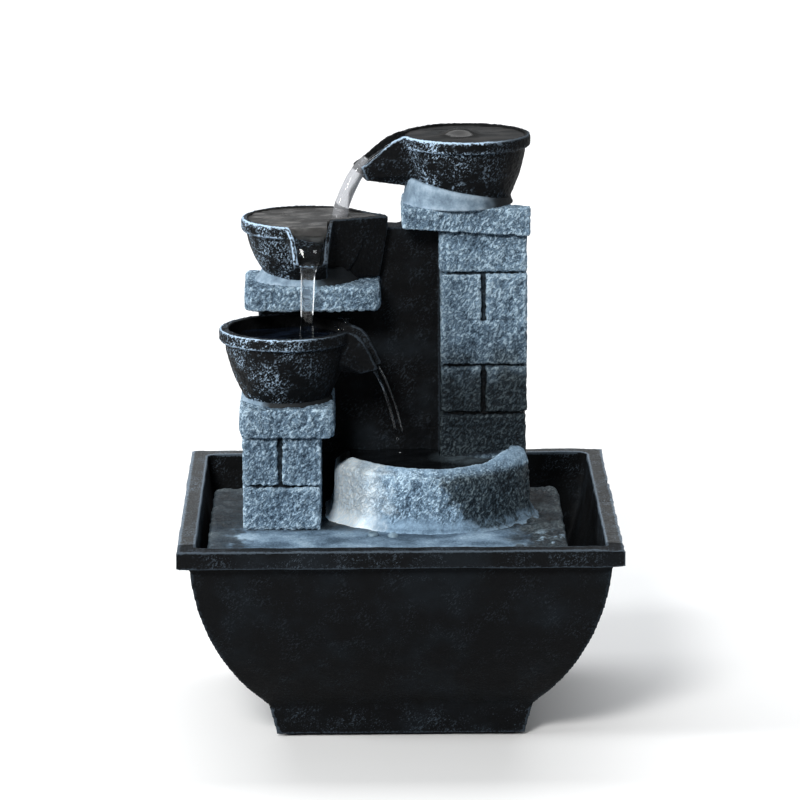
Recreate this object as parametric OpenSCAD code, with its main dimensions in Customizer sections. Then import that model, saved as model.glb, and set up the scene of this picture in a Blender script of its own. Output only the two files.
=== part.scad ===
// Tabletop water fountain: a square black basin with a lift-out stone insert
// (three spouted cups on brick columns above a half-round trough) and a
// submersible pump below it.  Millimetres, +Z up, front faces -Y, origin on
// the table at the centre of the basin.

/* [Basin] */
// Outer width and depth of the basin rim
basin_w = 180; // [176:1:190]
// Height of the basin rim above the table
basin_h = 88.7; // [86:0.1:94]
// Height of the flat band around the rim
band_h = 8.5; // [6:0.5:11]
// Thickness of the bowl wall
bowl_wall = 4; // [3:0.25:5]
// Half width of the foot where it stands
foot_half_low = 51.2; // [49:0.1:53]
// Half width of the foot where the bowl begins
foot_half_high = 54.2; // [53:0.1:56]
// Height at which the bowl leaves the foot
foot_h = 13; // [11:0.5:14]
// Height of the basin floor inside
floor_z = 10; // [8:0.5:12]
// Thickness of the foam pad under the foot
pad_t = 0.8; // [0.5:0.1:1.5]

/* [Insert deck] */
// How far the deck lies below the basin rim
deck_drop = 7; // [5:0.5:9]
// Thickness of the deck plate
deck_t = 5; // [4:0.5:7]
// Side of the square legs under the deck
leg_w = 8; // [6:0.5:9]

/* [Trough] */
// Radius of the round front of the trough
trough_r = 44.5; // [44:0.5:48]
// Thickness of the trough wall
trough_wall_t = 7; // [5:0.5:8]
// Height of the trough wall above the deck
trough_h = 24; // [20:0.5:26]
// Thickness of the trough floor
trough_floor_t = 4; // [3:0.5:6]

/* [Columns] */
// Height of the left column's capstone underside above the table
left_column_top = 121; // [116:0.5:124]
// Height of the right column's top above the table
right_column_top = 198; // [194:0.5:202]
// Depth of the mortar joints between the bricks
joint_depth = 1.2; // [0.6:0.1:1.8]
// Height of the mortar joints
joint_h = 2; // [1.4:0.1:2.6]

/* [Cups] */
// Outer radius of the lower cup's rim
lower_cup_r = 27.8; // [26:0.1:28.2]
// Outer radius of the middle cup's rim
middle_cup_r = 27; // [25:0.1:27.5]
// Outer radius of the top cup's rim
top_cup_r = 27.2; // [25:0.1:28]
// Height of the raised band around each rim
cup_band_h = 5.2; // [4:0.1:6]
// Thickness of the cup walls at the rim
cup_wall = 4.6; // [3.5:0.1:5]
// Thickness of the cup floors
cup_floor_t = 5; // [4:0.5:7]

/* [Pump] */
// Width of the pump across its shaft
pump_w = 34; // [32:0.5:36]
// Height of the pump without its suction cups
pump_h = 32; // [30:0.5:34]
// Length of the motor block
motor_len = 30; // [28:0.5:32]
// Outer diameter of the outlet nozzle
nozzle_d = 7.9; // [7.5:0.1:8]
// Outer diameter of the riser tube
tube_d = 11; // [10:0.5:12]

/* [Hidden] */
$fn = 96;
eps = 0.01;
big = 400;

// Colours
black_resin = [0.07, 0.08, 0.10];
stone = [0.45, 0.53, 0.60];
mortar = [0.58, 0.66, 0.72];
pump_black = [0.12, 0.12, 0.13];
rubber = [0.20, 0.20, 0.21];
steel = [0.62, 0.63, 0.65];

// Bowl side: one arc, leaning outward from the foot to the rim band
bowl_r = 104.4;
side_inset = 4.5;
bowl_cx = basin_w / 2 - side_inset - bowl_r;
bowl_cz = basin_h;
band_z = basin_h - band_h;

// Deck outline
deck_z = basin_h - deck_drop;
deck_left = -78.3;
deck_right = 68.2;
deck_front = -75;
deck_rear = 46;
deck_corner_r = 5;
deck_under = deck_z - deck_t;
leg_places = [[-38, -38], [38, -38], [-38, 38], [-2, 39]];

// Trough
trough_left = -27;
trough_right = 54;
trough_mid = (trough_left + trough_right) / 2;
trough_front = -33;
horn_h = 28;
horn_len = 9;

// Columns, wall and slabs: [left, right] and [front, rear]
wall_y = [20, 32];
wall_left = -58;
wall_step_x = -20;
wall_top_z = 199.3;
wall_gap = 0.2;
left_x = [-64, -32.6];
left_y = [-28, wall_y[0]];
left_joint_z = [100];
left_cap_x = [-65.3, -26.6];
left_cap_front = -31;
left_cap_t = 12;
right_x = [17.6, 53.3];
right_y = [7, 41];
right_joint_z = [122.4, 142.9, 162.3, 182];
right_cap_x = [2, 54.6];
right_cap_y = [4, 44];
right_cap_top = 209.5;
right_cap_end_z = 201.4;
brick_joint_x = 35.5;
slab_x = [-63.6, -7.4];
slab_y = [-6, 34];
slab_z = [168.8, 178.8];
slab_end_r = 3;

// Cups: centre and rim height
lower_cup_at = [-46, -8.6, 163];
middle_cup_at = [-37.8, 14.5, 205];
top_cup_at = [28.4, 24, 238.4];
lower_cup_base_r = 16;
middle_cup_base_r = 18;
top_cup_base_r = 18.5;
foot_lift = 2;
collar_out = 1;
band_step = 2.2;
lower_cup_foot_z = left_column_top + left_cap_t + foot_lift;
middle_cup_foot_z = slab_z[1] + foot_lift;
top_cup_foot_z = right_cap_top + foot_lift;

// Squared right front corner of the middle cup: the line of its face, its plan, the
// plan of the shallow recess in its top, its [low, high] and how far its end tapers in
ear_face = [[-29, 4], [-3.9, 14.3]];
ear_plan = [[-34, 32.5], [-34, 5.2], [-27.5, 5.2], [-3.9, 14.8], [-4.6, 18.6], [-18.5, 32.5]];
ear_recess = [[-34, 30], [-34, 8.4], [-30, 8.4], [-6.7, 16.4], [-7, 18.4], [-20, 30]];
ear_recess_z = 201.6;
ear_z = [183, middle_cup_at[2]];
ear_taper = 5;
ear_wall = 2.6;

// Spouts: direction, slope below level, length from the rim, width and depth
lower_spout = [-8, 55, 19, 15, 9];
middle_spout = [-90, 52, 20, 16, 9];
top_spout = [188, 32, 24, 14, 9];
spout_side = 2.6;
foot_round = 0.3;

// Pump placement
pump_x = 27;
riser_y = 24;
suction_h = 4;
pump_z = floor_z + suction_h;
axis_drop = 12.5;
pump_axis_z = pump_z + pump_h - axis_drop;
volute_y = [18, 30];
motor_front = volute_y[0] - motor_len;
chamber_d = 20;
chamber_depth = 9;
nozzle_top = 62;
nozzle_bore = 5.4;
shell_t = 2;
well_d = 13.2;
well_wall = 0.9;
well_end = -5;
rotor_d = 12.4;
shaft_d = 2;
shaft_play = 0.05;
shaft_y = [-8, 29];
bush_d = 6;
bush_len = 3;
core_leg = 4;
core_play = 0.3;
rotor_play = 0.3;
core_depth = 14;
core_front = -2;
coil_t = 2;
tube_bore = nozzle_d + 0.1;
tube_low = 52;
tube_top = 224;
channel_d = tube_d + 3;
strainer_len = 10;
strainer_t = 2;
slot_w = 2;
slot_pitch = 4.4;
slider_size = [14, 1.6, 9];
slider_x = 27;
slider_z = pump_z + 14;
rail_t = 1.2;
rib_half = 0.8;
rib_h = 1.8;

// The span [low, high] that reaches the same way to both sides of a place
function near(place, reach) = [place - reach, place + reach];

// A box given by its [low, high] along each axis
module span_box(x, y, z) {
    translate([x[0], y[0], z[0]])
        cube([x[1] - x[0], y[1] - y[0], z[1] - z[0]]);
}

// An XZ outline drawn along Y between y[0] and y[1]
module xz_slab(y) {
    translate([0, y[1], 0])
        rotate([90, 0, 0])
            linear_extrude(y[1] - y[0])
                children();
}

// A cylinder along Y
module y_cylinder(d, y, at) {
    translate([at[0], y[1], at[1]])
        rotate([90, 0, 0])
            cylinder(d = d, h = y[1] - y[0]);
}

// A rectangle with round corners
module round_rect(x, y, r) {
    translate([x[0] + r, y[0]])
        square([x[1] - x[0] - 2 * r, y[1] - y[0]]);
    translate([x[0], y[0] + r])
        square([x[1] - x[0], y[1] - y[0] - 2 * r]);
    for (cx = [x[0] + r, x[1] - r], cy = [y[0] + r, y[1] - r])
        translate([cx, cy])
            circle(r = r);
}

// The same outline seen from the front and from the side
module square_plan() {
    intersection() {
        xz_slab([-big / 2, big / 2]) children();
        rotate([0, 0, 90]) xz_slab([-big / 2, big / 2]) children();
    }
}

// The side outline of the bowl between two heights
module bowl_outline(r, z) {
    intersection() {
        translate([bowl_cx, bowl_cz]) circle(r = r);
        translate([-bowl_cx, bowl_cz]) circle(r = r);
        translate([-basin_w, z[0]]) square([2 * basin_w, z[1] - z[0]]);
    }
}

module foot_outline() {
    polygon([[-foot_half_low, pad_t], [foot_half_low, pad_t],
             [foot_half_high, foot_h + eps], [-foot_half_high, foot_h + eps]]);
}

module basin() {
    half = basin_w / 2;
    color(black_resin)
        difference() {
            union() {
                square_plan() foot_outline();
                square_plan() bowl_outline(bowl_r, [foot_h, band_z + eps]);
                span_box([-half, half], [-half, half], [band_z, basin_h]);
            }
            square_plan() bowl_outline(bowl_r - bowl_wall, [floor_z, basin_h + 1]);
        }
}

module base_pad() {
    half = foot_half_low - 3;
    color(rubber)
        linear_extrude(pad_t)
            round_rect([-half, half], [-half, half], 4);
}

// The vertical way for the riser tube
module riser_channel() {
    translate([pump_x, riser_y, 0])
        cylinder(d = channel_d, h = top_cup_foot_z + 1);
}

module deck() {
    color(stone)
        difference() {
            union() {
                translate([0, 0, deck_under])
                    linear_extrude(deck_t)
                        round_rect([deck_left, deck_right], [deck_front, deck_rear], deck_corner_r);
                for (place = leg_places)
                    span_box(near(place[0], leg_w / 2), near(place[1], leg_w / 2),
                             [floor_z, deck_under + eps]);
            }
            riser_channel();
        }
}

// Outline of the trough, or of its inside when it is drawn smaller by `less`
module trough_outline(less) {
    intersection() {
        translate([trough_mid, trough_front + trough_r])
            circle(r = trough_r - less);
        translate([trough_left + less, trough_front])
            square([trough_right - trough_left - 2 * less, big]);
        translate([-big / 2, trough_front])
            square([big, right_y[0] - trough_front]);
    }
}

module trough_wall() {
    color(stone)
        difference() {
            union() {
                translate([0, 0, deck_z])
                    linear_extrude(trough_h)
                        trough_outline(0);
                span_box([trough_left, right_x[0]], [0, wall_y[0]], [deck_z, deck_z + trough_h]);
                span_box([trough_right - trough_wall_t, trough_right],
                         [right_y[0] - horn_len, right_y[0]], [deck_z, deck_z + horn_h]);
            }
            translate([0, 0, deck_z + trough_floor_t])
                linear_extrude(big)
                    trough_outline(trough_wall_t);
            span_box([trough_left + trough_wall_t, right_x[0] + eps], [-5, wall_y[0] + 1],
                     [deck_z + trough_floor_t, big]);
        }
}

// Wall outline: full width under the shelf, stepped beside the middle cup
module wall_outline() {
    polygon([[wall_left, deck_z], [right_x[0], deck_z], [right_x[0], cap_under(right_x[0])],
             [right_cap_x[0], right_cap_end_z], [right_cap_x[0], wall_top_z],
             [wall_step_x, wall_top_z], [wall_step_x, slab_z[0]], [wall_left, slab_z[0]]]);
}

module back_wall() {
    color(black_resin)
        difference() {
            xz_slab(wall_y) wall_outline();
            span_box(slab_x, slab_y, slab_z);
            translate(middle_cup_at)
                cup_body(middle_cup_r + wall_gap, middle_cup_base_r + wall_gap,
                         middle_cup_at[2] - middle_cup_foot_z, big / 10);
            translate([middle_cup_at[0], middle_cup_at[1], slab_z[1]])
                cylinder(r = middle_cup_base_r + collar_out + wall_gap,
                         h = middle_cup_foot_z - slab_z[1] + collar_out);
            for (shift = [[wall_gap, wall_gap, 0], [0, 0, -wall_gap]])
                translate(shift)
                    cup_ear();
        }
}

// Mortar joints all round a column, at the given heights
module course_joints(x, y, heights) {
    for (z = heights)
        difference() {
            span_box(x + [-1, 1], y + [-1, 1], near(z, joint_h / 2));
            span_box(x + [joint_depth, -joint_depth], y + [joint_depth, -joint_depth],
                     near(z, joint_h));
        }
}

// An upright joint between two bricks on the front face
module brick_joint(x, front, z) {
    span_box(near(x, joint_h / 2), [front - 1, front + joint_depth], z);
}

module left_column() {
    color(stone)
        difference() {
            span_box(left_x, left_y, [deck_z, left_column_top]);
            course_joints(left_x, left_y, left_joint_z);
            brick_joint((left_x[0] + left_x[1]) / 2 - 0.6, left_y[0], [left_joint_z[0], left_column_top + 1]);
        }
}

module left_capstone() {
    color(stone)
        span_box(left_cap_x, [left_cap_front, wall_y[0]], [left_column_top, left_column_top + left_cap_t]);
}

module right_column() {
    color(stone)
        difference() {
            xz_slab(right_y)
                polygon([[right_x[0], deck_z], [right_x[1], deck_z],
                         [right_x[1], cap_under(right_x[1])], [right_x[0], cap_under(right_x[0])]]);
            course_joints(right_x, right_y, right_joint_z);
            brick_joint(brick_joint_x, right_y[0], [right_joint_z[2], right_joint_z[3]]);
            brick_joint(brick_joint_x, right_y[0], [right_joint_z[0], right_joint_z[1]]);
            riser_channel();
        }
}

// Height of the right capstone's sloping underside at x
function cap_under(x) = right_cap_end_z
    + (right_column_top - right_cap_end_z) * (x - right_cap_x[0]) / (right_cap_x[1] - right_cap_x[0]);

module right_capstone() {
    color(stone)
        difference() {
            xz_slab(right_cap_y)
                polygon([[right_cap_x[0], right_cap_end_z], [right_cap_x[1], right_column_top],
                         [right_cap_x[1], right_cap_top], [right_cap_x[0], right_cap_top]]);
            riser_channel();
        }
}

module shelf_slab() {
    color(stone)
        translate([0, 0, slab_z[0]])
            linear_extrude(slab_z[1] - slab_z[0])
                round_rect(slab_x, slab_y, slab_end_r);
}

// Outside of a cup below its rim, which lies at the origin: a band, then a body
// that tapers to a rounded foot.  `above` carries it on upward as a cutter.
module cup_body(rim_r, base_r, height, above) {
    neck_r = rim_r - band_step;
    round_z = height * foot_round;
    rotate_extrude()
        polygon([[0, above], [rim_r, above], [rim_r, -cup_band_h], [neck_r, -cup_band_h],
                 [base_r + round_z * foot_round, -height + round_z * 0.8], [base_r, -height], [0, -height]]);
}

// Inside of a cup: straight tapering wall, round floor edge
module cup_inside(rim_r, base_r, height) {
    mouth_r = rim_r - cup_wall;
    depth = height - cup_floor_t;
    rotate_extrude()
        polygon([[0, 1], [mouth_r, 1], [mouth_r, 0], [mouth_r - 2, -cup_band_h],
                 [base_r - 1, 3 - depth], [base_r - 5, -depth], [0, -depth]]);
}

// Places a spout's own frame: +X along its floor, at the rim's edge
module at_spout(spout, rim_r) {
    rotate([0, 0, spout[0]])
        translate([rim_r - 7, 0, -1])
            rotate([0, spout[1], 0])
                children();
}

module spout_outside(spout, rim_r) {
    at_spout(spout, rim_r)
        translate([-12, -spout[3] / 2, -spout[4]])
            cube([spout[2] + 12, spout[3], spout[4]]);
}

module spout_channel(spout, rim_r) {
    inner_w = spout[3] - 2 * spout_side;
    at_spout(spout, rim_r)
        translate([-9, -inner_w / 2, -spout[4] + spout_side])
            cube([spout[2] + 20, inner_w, spout[4] + 8]);
}

// The part of a spout that lies below the rim
module spout_below_rim(spout, rim_r) {
    difference() {
        spout_outside(spout, rim_r);
        cylinder(r = big / 2, h = big);
    }
}

module spouted_cup(rim_r, base_r, height, spout) {
    difference() {
        union() {
            cup_body(rim_r, base_r, height, 0);
            spout_below_rim(spout, rim_r);
        }
        cup_inside(rim_r, base_r, height);
        spout_channel(spout, rim_r);
    }
}

// Everything in front of the middle cup's straight face, moved back by inset
module before_ear_face(inset) {
    linear_extrude(big)
        polygon([ear_face[0] + [0, inset], ear_face[1] + [0, inset],
                 ear_face[1] + [big, inset], ear_face[1] - [-big, big], ear_face[0] - [0, big]]);
}

// The squared corner of the middle cup, its end leaning in toward the foot
module cup_ear() {
    end_x = ear_face[1][0];
    difference() {
        translate([0, 0, ear_z[0]])
            linear_extrude(ear_z[1] - ear_z[0])
                polygon(ear_plan);
        xz_slab([0, big])
            polygon([[end_x, ear_z[1]], [end_x - ear_taper, ear_z[0] - 1],
                     [big, ear_z[0] - 1], [big, ear_z[1]]]);
    }
}

// A mortar collar between a cup's foot and the stone below it
module cup_collar(centre, low_r, high_r, z) {
    translate([centre[0], centre[1], z[0]])
        cylinder(r1 = low_r, r2 = high_r, h = z[1] - z[0]);
}

module lower_cup() {
    color(black_resin)
        translate(lower_cup_at)
            spouted_cup(lower_cup_r, lower_cup_base_r, lower_cup_at[2] - lower_cup_foot_z, lower_spout);
}

module lower_cup_collar() {
    color(mortar)
        difference() {
            cup_collar(lower_cup_at, 18, 17.5, [left_column_top + left_cap_t, lower_cup_foot_z + 2]);
            translate(lower_cup_at)
                cup_body(lower_cup_r, lower_cup_base_r, lower_cup_at[2] - lower_cup_foot_z, 0);
        }
}

module middle_cup() {
    height = middle_cup_at[2] - middle_cup_foot_z;
    color(black_resin)
        difference() {
            union() {
                difference() {
                    translate(middle_cup_at)
                        cup_body(middle_cup_r, middle_cup_base_r, height, 0);
                    before_ear_face(0);
                }
                cup_ear();
                translate(middle_cup_at)
                    spout_below_rim(middle_spout, middle_cup_r);
            }
            difference() {
                translate(middle_cup_at)
                    cup_inside(middle_cup_r, middle_cup_base_r, height);
                before_ear_face(ear_wall);
            }
            translate([0, 0, ear_recess_z])
                linear_extrude(big)
                    polygon(ear_recess);
            translate(middle_cup_at)
                spout_channel(middle_spout, middle_cup_r);
        }
}

module middle_cup_collar() {
    color(mortar)
        difference() {
            cup_collar(middle_cup_at, middle_cup_base_r + collar_out, middle_cup_base_r + collar_out / 2,
                       [slab_z[1], middle_cup_foot_z + 1.6]);
            translate(middle_cup_at)
                cup_body(middle_cup_r, middle_cup_base_r, middle_cup_at[2] - middle_cup_foot_z, 0);
        }
}

module top_cup() {
    color(black_resin)
        difference() {
            translate(top_cup_at)
                spouted_cup(top_cup_r, top_cup_base_r, top_cup_at[2] - top_cup_foot_z, top_spout);
            translate([pump_x, riser_y, 0])
                cylinder(d = tube_d, h = big);
        }
}

module top_cup_collar() {
    color(mortar)
        difference() {
            cup_collar(top_cup_at - [3, 0, 0], 22.6, 23.2, [right_cap_top, top_cup_foot_z + 6]);
            translate(top_cup_at)
                cup_body(top_cup_r, top_cup_base_r, top_cup_at[2] - top_cup_foot_z, 0);
            riser_channel();
        }
}

module riser_tube() {
    color([0.75, 0.80, 0.82])
        translate([pump_x, riser_y, tube_low])
            difference() {
                cylinder(d = tube_d, h = tube_top - tube_low);
                translate([0, 0, -1])
                    cylinder(d = tube_bore, h = tube_top - tube_low + 2);
            }
}

function pump_side(inset) = near(pump_x, pump_w / 2 - inset);
function pump_rise(inset) = [pump_z + inset, pump_z + pump_h - inset];
pump_axis = [pump_x, pump_axis_z];

// The space inside the motor shell around the rotor well
module motor_cavity() {
    difference() {
        span_box(pump_side(shell_t), [motor_front, volute_y[0] - shell_t], pump_rise(shell_t));
        y_cylinder(well_d + 2 * well_wall, [well_end - bush_len - well_wall, volute_y[0]], pump_axis);
    }
}

module pump_housing() {
    color(pump_black)
        difference() {
            span_box(pump_side(0), [motor_front, volute_y[0]], pump_rise(0));
            motor_cavity();
            y_cylinder(well_d, [well_end, volute_y[0] + 1], pump_axis);
            y_cylinder(bush_d, [well_end - bush_len, well_end + eps], pump_axis);
        }
}

// Laminated U core: two legs beside the rotor well, joined below it
module pump_stator_core() {
    leg_out = well_d / 2 + well_wall + core_play + core_leg;
    y = [core_front, core_front + core_depth];
    color(steel)
        difference() {
            span_box(near(pump_x, leg_out), y, [pump_z + 4, pump_axis_z + 6]);
            span_box(near(pump_x, leg_out - core_leg), y + [-1, 1],
                     [pump_z + 4 + core_leg, big]);
        }
}

module pump_coil() {
    half = well_d / 2 + well_wall - 0.2;
    low = pump_z + 4;
    y = [core_front, core_front + core_depth];
    color([0.72, 0.42, 0.22])
        difference() {
            span_box(near(pump_x, half), y + [-coil_t, coil_t], [low + 1 - coil_t, low + core_leg + coil_t]);
            span_box(near(pump_x, half + 1), y, [low, low + core_leg]);
        }
}

module pump_potting() {
    color([0.16, 0.16, 0.17])
        difference() {
            motor_cavity();
            pump_stator_core();
            pump_coil();
        }
}

module pump_volute() {
    through = [volute_y[0] + chamber_depth - 1, volute_y[1] + 1];
    inlets = 6;
    color(pump_black)
        difference() {
            union() {
                span_box(pump_side(0), volute_y, pump_rise(0));
                translate([pump_x, riser_y, pump_z + pump_h - eps])
                    cylinder(d = nozzle_d, h = nozzle_top - pump_z - pump_h + eps);
            }
            y_cylinder(chamber_d, [volute_y[0] - 1, volute_y[0] + chamber_depth], pump_axis);
            y_cylinder(bush_d, through, pump_axis);
            for (i = [0 : inlets - 1]) {
                turn = i * 360 / inlets;
                y_cylinder(3, through, pump_axis + 6.5 * [cos(turn), sin(turn)]);
            }
            translate([pump_x, riser_y, pump_axis_z + chamber_d / 2 - 3])
                cylinder(d = nozzle_bore, h = big);
        }
}

module pump_impeller() {
    blades = 6;
    disc_y = [volute_y[0] + 0.5, volute_y[0] + 2];
    blade_y = [disc_y[1] - eps, disc_y[1] + 5];
    color([0.30, 0.29, 0.28])
        difference() {
            union() {
                y_cylinder(rotor_d, [well_end + rotor_play, disc_y[0] + eps], pump_axis);
                y_cylinder(18, disc_y, pump_axis);
                y_cylinder(5, blade_y, pump_axis);
                for (i = [0 : blades - 1])
                    translate([pump_x, 0, pump_axis_z])
                        rotate([0, i * 360 / blades, 0])
                            span_box([1.6, 8.6], blade_y, [-0.6, 0.6]);
            }
            y_cylinder(shaft_d + 2 * shaft_play, [well_end - 1, blade_y[1] + 1], pump_axis);
        }
}

module pump_shaft() {
    color(steel)
        y_cylinder(shaft_d, shaft_y, pump_axis);
}

module pump_shaft_bushes() {
    color(rubber)
        for (y = [[well_end - bush_len, well_end], [volute_y[1] - bush_len, volute_y[1]]])
            difference() {
                y_cylinder(bush_d, y, pump_axis);
                y_cylinder(shaft_d, y[0] < 0 ? [y[0] - 1, y[1] + 1] : [y[0] - 1, shaft_y[1]], pump_axis);
            }
}

module pump_suction_cups() {
    color(rubber)
        for (x = near(pump_x, 11), y = [-5, 23])
            translate([x, y, floor_z])
                rotate_extrude()
                    polygon([[0, 1.2], [5.2, 0], [5.8, 0.4], [2.4, 2.6], [2.4, suction_h], [0, suction_h]]);
}

module pump_cord_gland() {
    at = [pump_x + 10, pump_z + 7];
    color(rubber)
        difference() {
            union() {
                y_cylinder(8, [motor_front - 2, motor_front], at);
                y_cylinder(6, [motor_front - 9, motor_front - 2 + eps], at);
            }
            y_cylinder(3.4, [motor_front - 10, motor_front - 1], at);
        }
}

module pump_strainer() {
    rear = volute_y[1] + strainer_len;
    slots = 6;
    mid_z = pump_z + pump_h / 2;
    slot_reach = pump_h / 2 - 5;
    rail_half = slider_size[2] / 2 + 0.2;
    color(pump_black)
        difference() {
            union() {
                span_box(pump_side(0), [volute_y[1], rear], pump_rise(0));
                for (side = [-1, 1])
                    span_box(pump_side(3), [rear - eps, rear + slider_size[1]],
                             near(slider_z + side * (rail_half + rail_t / 2), rail_t / 2));
            }
            span_box(pump_side(strainer_t), [volute_y[1] - 1, rear - strainer_t], pump_rise(strainer_t));
            for (i = [0 : slots - 1]) {
                x = pump_x + (i - (slots - 1) / 2) * slot_pitch;
                span_box(near(x, slot_w / 2), [rear - 5, rear + 5], near(mid_z, slot_reach));
            }
        }
}

module pump_flow_slider() {
    rear = volute_y[1] + strainer_len;
    rise = near(slider_z, slider_size[2] / 2);
    color([0.75, 0.30, 0.12])
        union() {
            span_box([slider_x, slider_x + slider_size[0]], [rear, rear + slider_size[1]], rise);
            span_box(near(slider_x + slider_size[0] / 2, rib_half),
                     [rear, rear + slider_size[1] + rib_h], rise);
        }
}

basin();
base_pad();
deck();
trough_wall();
back_wall();
left_column();
left_capstone();
lower_cup_collar();
lower_cup();
shelf_slab();
middle_cup_collar();
middle_cup();
right_column();
right_capstone();
top_cup_collar();
top_cup();
riser_tube();
pump_housing();
pump_potting();
pump_stator_core();
pump_coil();
pump_volute();
pump_impeller();
pump_shaft();
pump_shaft_bushes();
pump_suction_cups();
pump_cord_gland();
pump_strainer();
pump_flow_slider();
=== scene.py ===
"""Looks of the tabletop water fountain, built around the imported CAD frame.

Stone and cast resin pieces are rebuilt as dense meshes: clean shapes are joined by a
voxel remesh, softened, then pushed in and out by seeded noise.  Each vertex keeps how
high its relief is and how sharp its edge is, and the materials paint from those.
"""
import itertools
import math

import bmesh
import bpy
import numpy as np
from mathutils import Matrix, Vector


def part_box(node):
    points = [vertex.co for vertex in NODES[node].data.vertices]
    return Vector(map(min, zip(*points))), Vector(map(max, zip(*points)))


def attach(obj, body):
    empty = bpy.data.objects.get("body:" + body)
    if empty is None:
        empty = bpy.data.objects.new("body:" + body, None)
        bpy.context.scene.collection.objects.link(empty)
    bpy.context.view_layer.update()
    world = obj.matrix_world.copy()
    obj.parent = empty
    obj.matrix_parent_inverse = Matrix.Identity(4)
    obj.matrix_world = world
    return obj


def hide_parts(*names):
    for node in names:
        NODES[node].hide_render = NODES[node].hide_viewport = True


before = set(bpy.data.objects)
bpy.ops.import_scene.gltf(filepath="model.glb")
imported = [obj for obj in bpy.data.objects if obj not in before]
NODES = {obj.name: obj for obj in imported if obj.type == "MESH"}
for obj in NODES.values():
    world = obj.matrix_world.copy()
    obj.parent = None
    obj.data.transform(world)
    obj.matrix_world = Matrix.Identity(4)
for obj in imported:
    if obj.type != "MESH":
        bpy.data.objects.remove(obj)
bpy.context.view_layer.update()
SCENE = bpy.context.scene
MM = 0.001


# ---------------------------------------------------------------- noise
def lattice_noise(points, seed):
    """Smooth gradient noise, about -1 to 1, with one cell per unit."""
    cell = np.floor(points).astype(np.int64)
    offset = points - cell
    fade = offset ** 3 * (offset * (offset * 6 - 15) + 10)
    total = np.zeros(len(points))
    for corner in itertools.product((0, 1), repeat=3):
        at = cell + corner
        key = at[:, 0] * 73856093 ^ at[:, 1] * 19349663 ^ at[:, 2] * 83492791 ^ seed * 2654435761
        key = key & 0xFFFFFFFF
        key = ((key ^ key >> 15) * 0x2C1B3C6D) & 0xFFFFFFFF
        key = ((key ^ key >> 12) * 0x297A2D39) & 0xFFFFFFFF
        key = key ^ key >> 15
        gradient = np.stack([key & 255, key >> 8 & 255, key >> 16 & 255], 1) / 127.5 - 1
        weight = np.prod(np.where(corner, fade, 1 - fade), axis=1)
        total += weight * np.sum(gradient * (offset - corner), axis=1)
    return total * 1.4


def layered_noise(points, size, seed, layers=3):
    """Noise in several layers: `size` is the largest feature, in millimetres."""
    total, strength = 0, 1.0
    for layer in range(layers):
        total = total + strength * lattice_noise(points * 2 ** layer / size, seed + layer)
        strength *= 0.5
    return total


def smooth_step(low, high, value):
    t = np.clip((value - low) / (high - low), 0, 1)
    return t * t * (3 - 2 * t)


# ---------------------------------------------------------------- meshes
def add_object(name, data):
    obj = bpy.data.objects.new(name, data)
    SCENE.collection.objects.link(obj)
    return obj


def mesh_object(name, verts, faces):
    mesh = bpy.data.meshes.new(name)
    mesh.from_pydata([tuple(v) for v in verts], [], faces)
    mesh.validate()
    return add_object(name, mesh)


def shade_smooth(obj):
    obj.data.polygons.foreach_set("use_smooth", [True] * len(obj.data.polygons))
    return obj


def settle(obj):
    """Applies every modifier on obj to its mesh."""
    graph = bpy.context.evaluated_depsgraph_get()
    mesh = bpy.data.meshes.new_from_object(obj.evaluated_get(graph))
    obj.modifiers.clear()
    obj.data = mesh
    return obj


def loft(name, rings):
    """Joins equal rings of points into one closed skin with a flat cap at each end."""
    count = len(rings[0])
    last = (len(rings) - 1) * count
    verts = [point for ring in rings for point in ring]
    faces = [(i + j, i + (j + 1) % count, i + count + (j + 1) % count, i + count + j)
             for i in range(0, last, count) for j in range(count)]
    faces += [tuple(reversed(range(count))), tuple(range(last, last + count))]
    return face_outward(mesh_object(name, verts, faces))


def face_outward(obj):
    """Turns the faces of a closed mesh so that they look outward."""
    work = bmesh.new()
    work.from_mesh(obj.data)
    bmesh.ops.recalc_face_normals(work, faces=work.faces)
    work.to_mesh(obj.data)
    work.free()
    return obj


def revolve(name, profile, centre, segments=96, squash=1.0, tilt=0.0):
    """A solid turned about the vertical through centre: profile is (radius, height) upward, squash
    is its depth for its width, and tilt raises the left side of its top."""
    turns = [2 * math.pi * i / segments for i in range(segments)]
    (cx, cy), base, span = centre, profile[0][1], profile[-1][1] - profile[0][1]
    return loft(name, [[(cx + radius * math.cos(turn), cy + radius * squash * math.sin(turn),
            height - tilt * math.cos(turn) * (height - base) / span) for turn in turns]
            for radius, height in profile])


def block(name, low, high):
    """A plain box between two corners, in metres."""
    (x0, y0, z0), (x1, y1, z1) = low, high
    ring_low = [(x0, y0, z0), (x1, y0, z0), (x1, y1, z0), (x0, y1, z0)]
    ring_high = [(x, y, z1) for x, y, _ in ring_low]
    return loft(name, [ring_low, ring_high])


def boolean(obj, other, operation, use_self=False):
    """Cuts, unites or intersects obj with other, and throws other away."""
    change = obj.modifiers.new("change", "BOOLEAN")
    change.operation = operation
    change.solver = "EXACT"
    change.use_self = use_self
    change.object = other
    settle(obj)
    bpy.data.objects.remove(other)
    return obj


def carve(obj, cutter):
    return boolean(obj, cutter, "DIFFERENCE", use_self=True)


def unite(obj, other):
    return boolean(obj, other, "UNION")


def copy_of(node, name):
    """A free copy of a CAD node's mesh."""
    obj = add_object(name, NODES[node].data.copy())
    obj.data.materials.clear()
    return obj


def join(name, parts):
    """Puts several closed meshes into one object."""
    work = bmesh.new()
    for part in parts:
        work.from_mesh(part.data)
        bpy.data.objects.remove(part)
    mesh = bpy.data.meshes.new(name)
    work.to_mesh(mesh)
    work.free()
    return add_object(name, mesh)


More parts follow.
